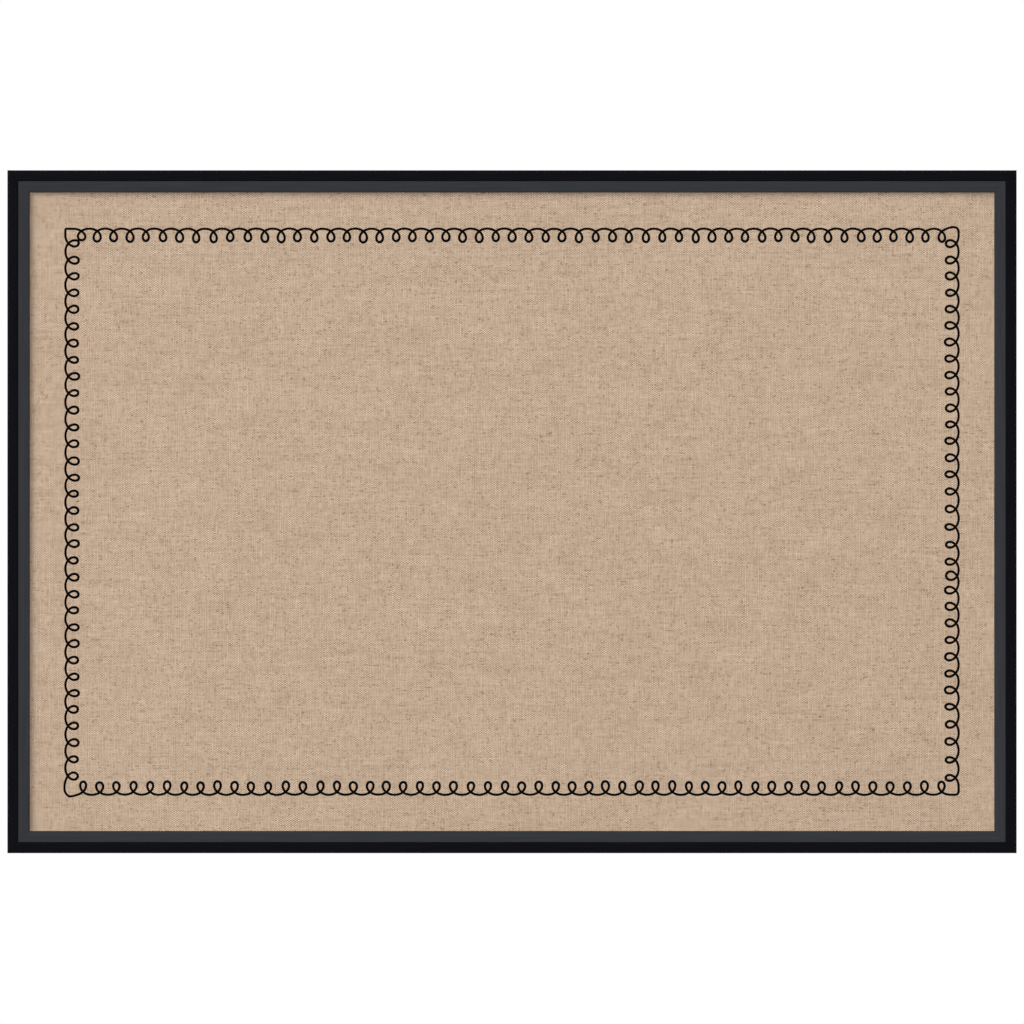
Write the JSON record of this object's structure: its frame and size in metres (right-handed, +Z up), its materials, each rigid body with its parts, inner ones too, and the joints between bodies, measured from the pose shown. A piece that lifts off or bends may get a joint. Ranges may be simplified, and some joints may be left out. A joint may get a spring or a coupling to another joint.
{
  "type": "memo board",
  "caption": "Wide wall memo board: a padded linen-covered cork panel with a printed loop border, held by turn buttons in a black frame with a charcoal liner.",
  "frame": {"origin": "on the wall plane, behind the middle of the board", "axes": "+X to the right as seen from the front, +Y into the wall, +Z up; the front faces -Y"},
  "size_m": [0.9428, 0.0254, 0.6378],
  "materials": {
    "black_lacquer": "satin black lacquer on a wooden moulding",
    "charcoal_paint": "matt charcoal paint on a wooden liner",
    "linen": "natural oatmeal linen, plain weave with slubs, with a printed black loop border",
    "wadding": "off-white cotton wadding",
    "cork": "pressed granulated cork",
    "hardboard": "brown pressed hardboard, smooth face out",
    "bright_steel": "bright folded steel",
    "zinc_steel": "zinc-plated steel",
    "black_rubber": "matt moulded rubber"
  },
  "bodies": {
    "board": {"rail_top": "black_lacquer", "liner_top": "charcoal_paint", "rail_right": "black_lacquer", "liner_right": "charcoal_paint", "rail_bottom": "black_lacquer", "liner_bottom": "charcoal_paint", "rail_left": "black_lacquer", "liner_left": "charcoal_paint", "linen_cover": "linen", "wadding": "wadding", "cork_core": "cork", "hardboard_back": "hardboard", "corner_nail_top_left_1": "bright_steel", "corner_nail_top_left_2": "bright_steel", "corner_nail_top_right_1": "bright_steel", "corner_nail_top_right_2": "bright_steel", "corner_nail_bottom_left_1": "bright_steel", "corner_nail_bottom_left_2": "bright_steel", "corner_nail_bottom_right_1": "bright_steel", "corner_nail_bottom_right_2": "bright_steel", "pivot_screw_top_1": "zinc_steel", "pivot_screw_bottom_1": "zinc_steel", "pivot_screw_top_2": "zinc_steel", "pivot_screw_bottom_2": "zinc_steel", "pivot_screw_top_3": "zinc_steel", "pivot_screw_bottom_3": "zinc_steel", "pivot_screw_right_1": "zinc_steel", "pivot_screw_left_1": "zinc_steel", "pivot_screw_right_2": "zinc_steel", "pivot_screw_left_2": "zinc_steel", "hanger_strap_left": "zinc_steel", "strap_screw_left_1": "zinc_steel", "strap_screw_left_2": "zinc_steel", "hanger_strap_right": "zinc_steel", "strap_screw_right_1": "zinc_steel", "strap_screw_right_2": "zinc_steel", "bumper_top_left": "black_rubber", "bumper_top_right": "black_rubber", "bumper_bottom_left": "black_rubber", "bumper_bottom_right": "black_rubber"},
    "turn_button_top_1": {"turn_button_top_1": "zinc_steel"},
    "turn_button_bottom_1": {"turn_button_bottom_1": "zinc_steel"},
    "turn_button_top_2": {"turn_button_top_2": "zinc_steel"},
    "turn_button_bottom_2": {"turn_button_bottom_2": "zinc_steel"},
    "turn_button_top_3": {"turn_button_top_3": "zinc_steel"},
    "turn_button_bottom_3": {"turn_button_bottom_3": "zinc_steel"},
    "turn_button_right_1": {"turn_button_right_1": "zinc_steel"},
    "turn_button_left_1": {"turn_button_left_1": "zinc_steel"},
    "turn_button_right_2": {"turn_button_right_2": "zinc_steel"},
    "turn_button_left_2": {"turn_button_left_2": "zinc_steel"},
    "hanger_ring_left": {"hanger_ring_left": "zinc_steel"},
    "hanger_ring_right": {"hanger_ring_right": "zinc_steel"}
  },
  "joints": [
    {"name": "turn_button_top_1_turn", "type": "hinge", "parent": "board", "child": "turn_button_top_1", "pos_m": [-0.32135, -0.0042, 0.31228], "axis": [0, 1, 0], "range_deg": [-90, 90]},
    {"name": "turn_button_bottom_1_turn", "type": "hinge", "parent": "board", "child": "turn_button_bottom_1", "pos_m": [0.32135, -0.0042, -0.31228], "axis": [0, 1, 0], "range_deg": [-90, 90]},
    {"name": "turn_button_top_2_turn", "type": "hinge", "parent": "board", "child": "turn_button_top_2", "pos_m": [0, -0.0042, 0.31228], "axis": [0, 1, 0], "range_deg": [-90, 90]},
    {"name": "turn_button_bottom_2_turn", "type": "hinge", "parent": "board", "child": "turn_button_bottom_2", "pos_m": [0, -0.0042, -0.31228], "axis": [0, 1, 0], "range_deg": [-90, 90]},
    {"name": "turn_button_top_3_turn", "type": "hinge", "parent": "board", "child": "turn_button_top_3", "pos_m": [0.32135, -0.0042, 0.31228], "axis": [0, 1, 0], "range_deg": [-90, 90]},
    {"name": "turn_button_bottom_3_turn", "type": "hinge", "parent": "board", "child": "turn_button_bottom_3", "pos_m": [-0.32135, -0.0042, -0.31228], "axis": [0, 1, 0], "range_deg": [-90, 90]},
    {"name": "turn_button_right_1_turn", "type": "hinge", "parent": "board", "child": "turn_button_right_1", "pos_m": [0.46468, -0.0042, 0.09895], "axis": [0, 1, 0], "range_deg": [-90, 90]},
    {"name": "turn_button_left_1_turn", "type": "hinge", "parent": "board", "child": "turn_button_left_1", "pos_m": [-0.46468, -0.0042, -0.09895], "axis": [0, 1, 0], "range_deg": [-90, 90]},
    {"name": "turn_button_right_2_turn", "type": "hinge", "parent": "board", "child": "turn_button_right_2", "pos_m": [0.46468, -0.0042, -0.09895], "axis": [0, 1, 0], "range_deg": [-90, 90]},
    {"name": "turn_button_left_2_turn", "type": "hinge", "parent": "board", "child": "turn_button_left_2", "pos_m": [-0.46468, -0.0042, 0.09895], "axis": [0, 1, 0], "range_deg": [-90, 90]},
    {"name": "hanger_ring_left_swing", "type": "hinge", "parent": "board", "child": "hanger_ring_left", "pos_m": [-0.46468, -0.0029, 0.20895], "axis": [1, 0, 0], "range_deg": [0, 180]},
    {"name": "hanger_ring_right_swing", "type": "hinge", "parent": "board", "child": "hanger_ring_right", "pos_m": [0.46468, -0.0029, 0.20895], "axis": [1, 0, 0], "range_deg": [0, 180]}
  ]
}
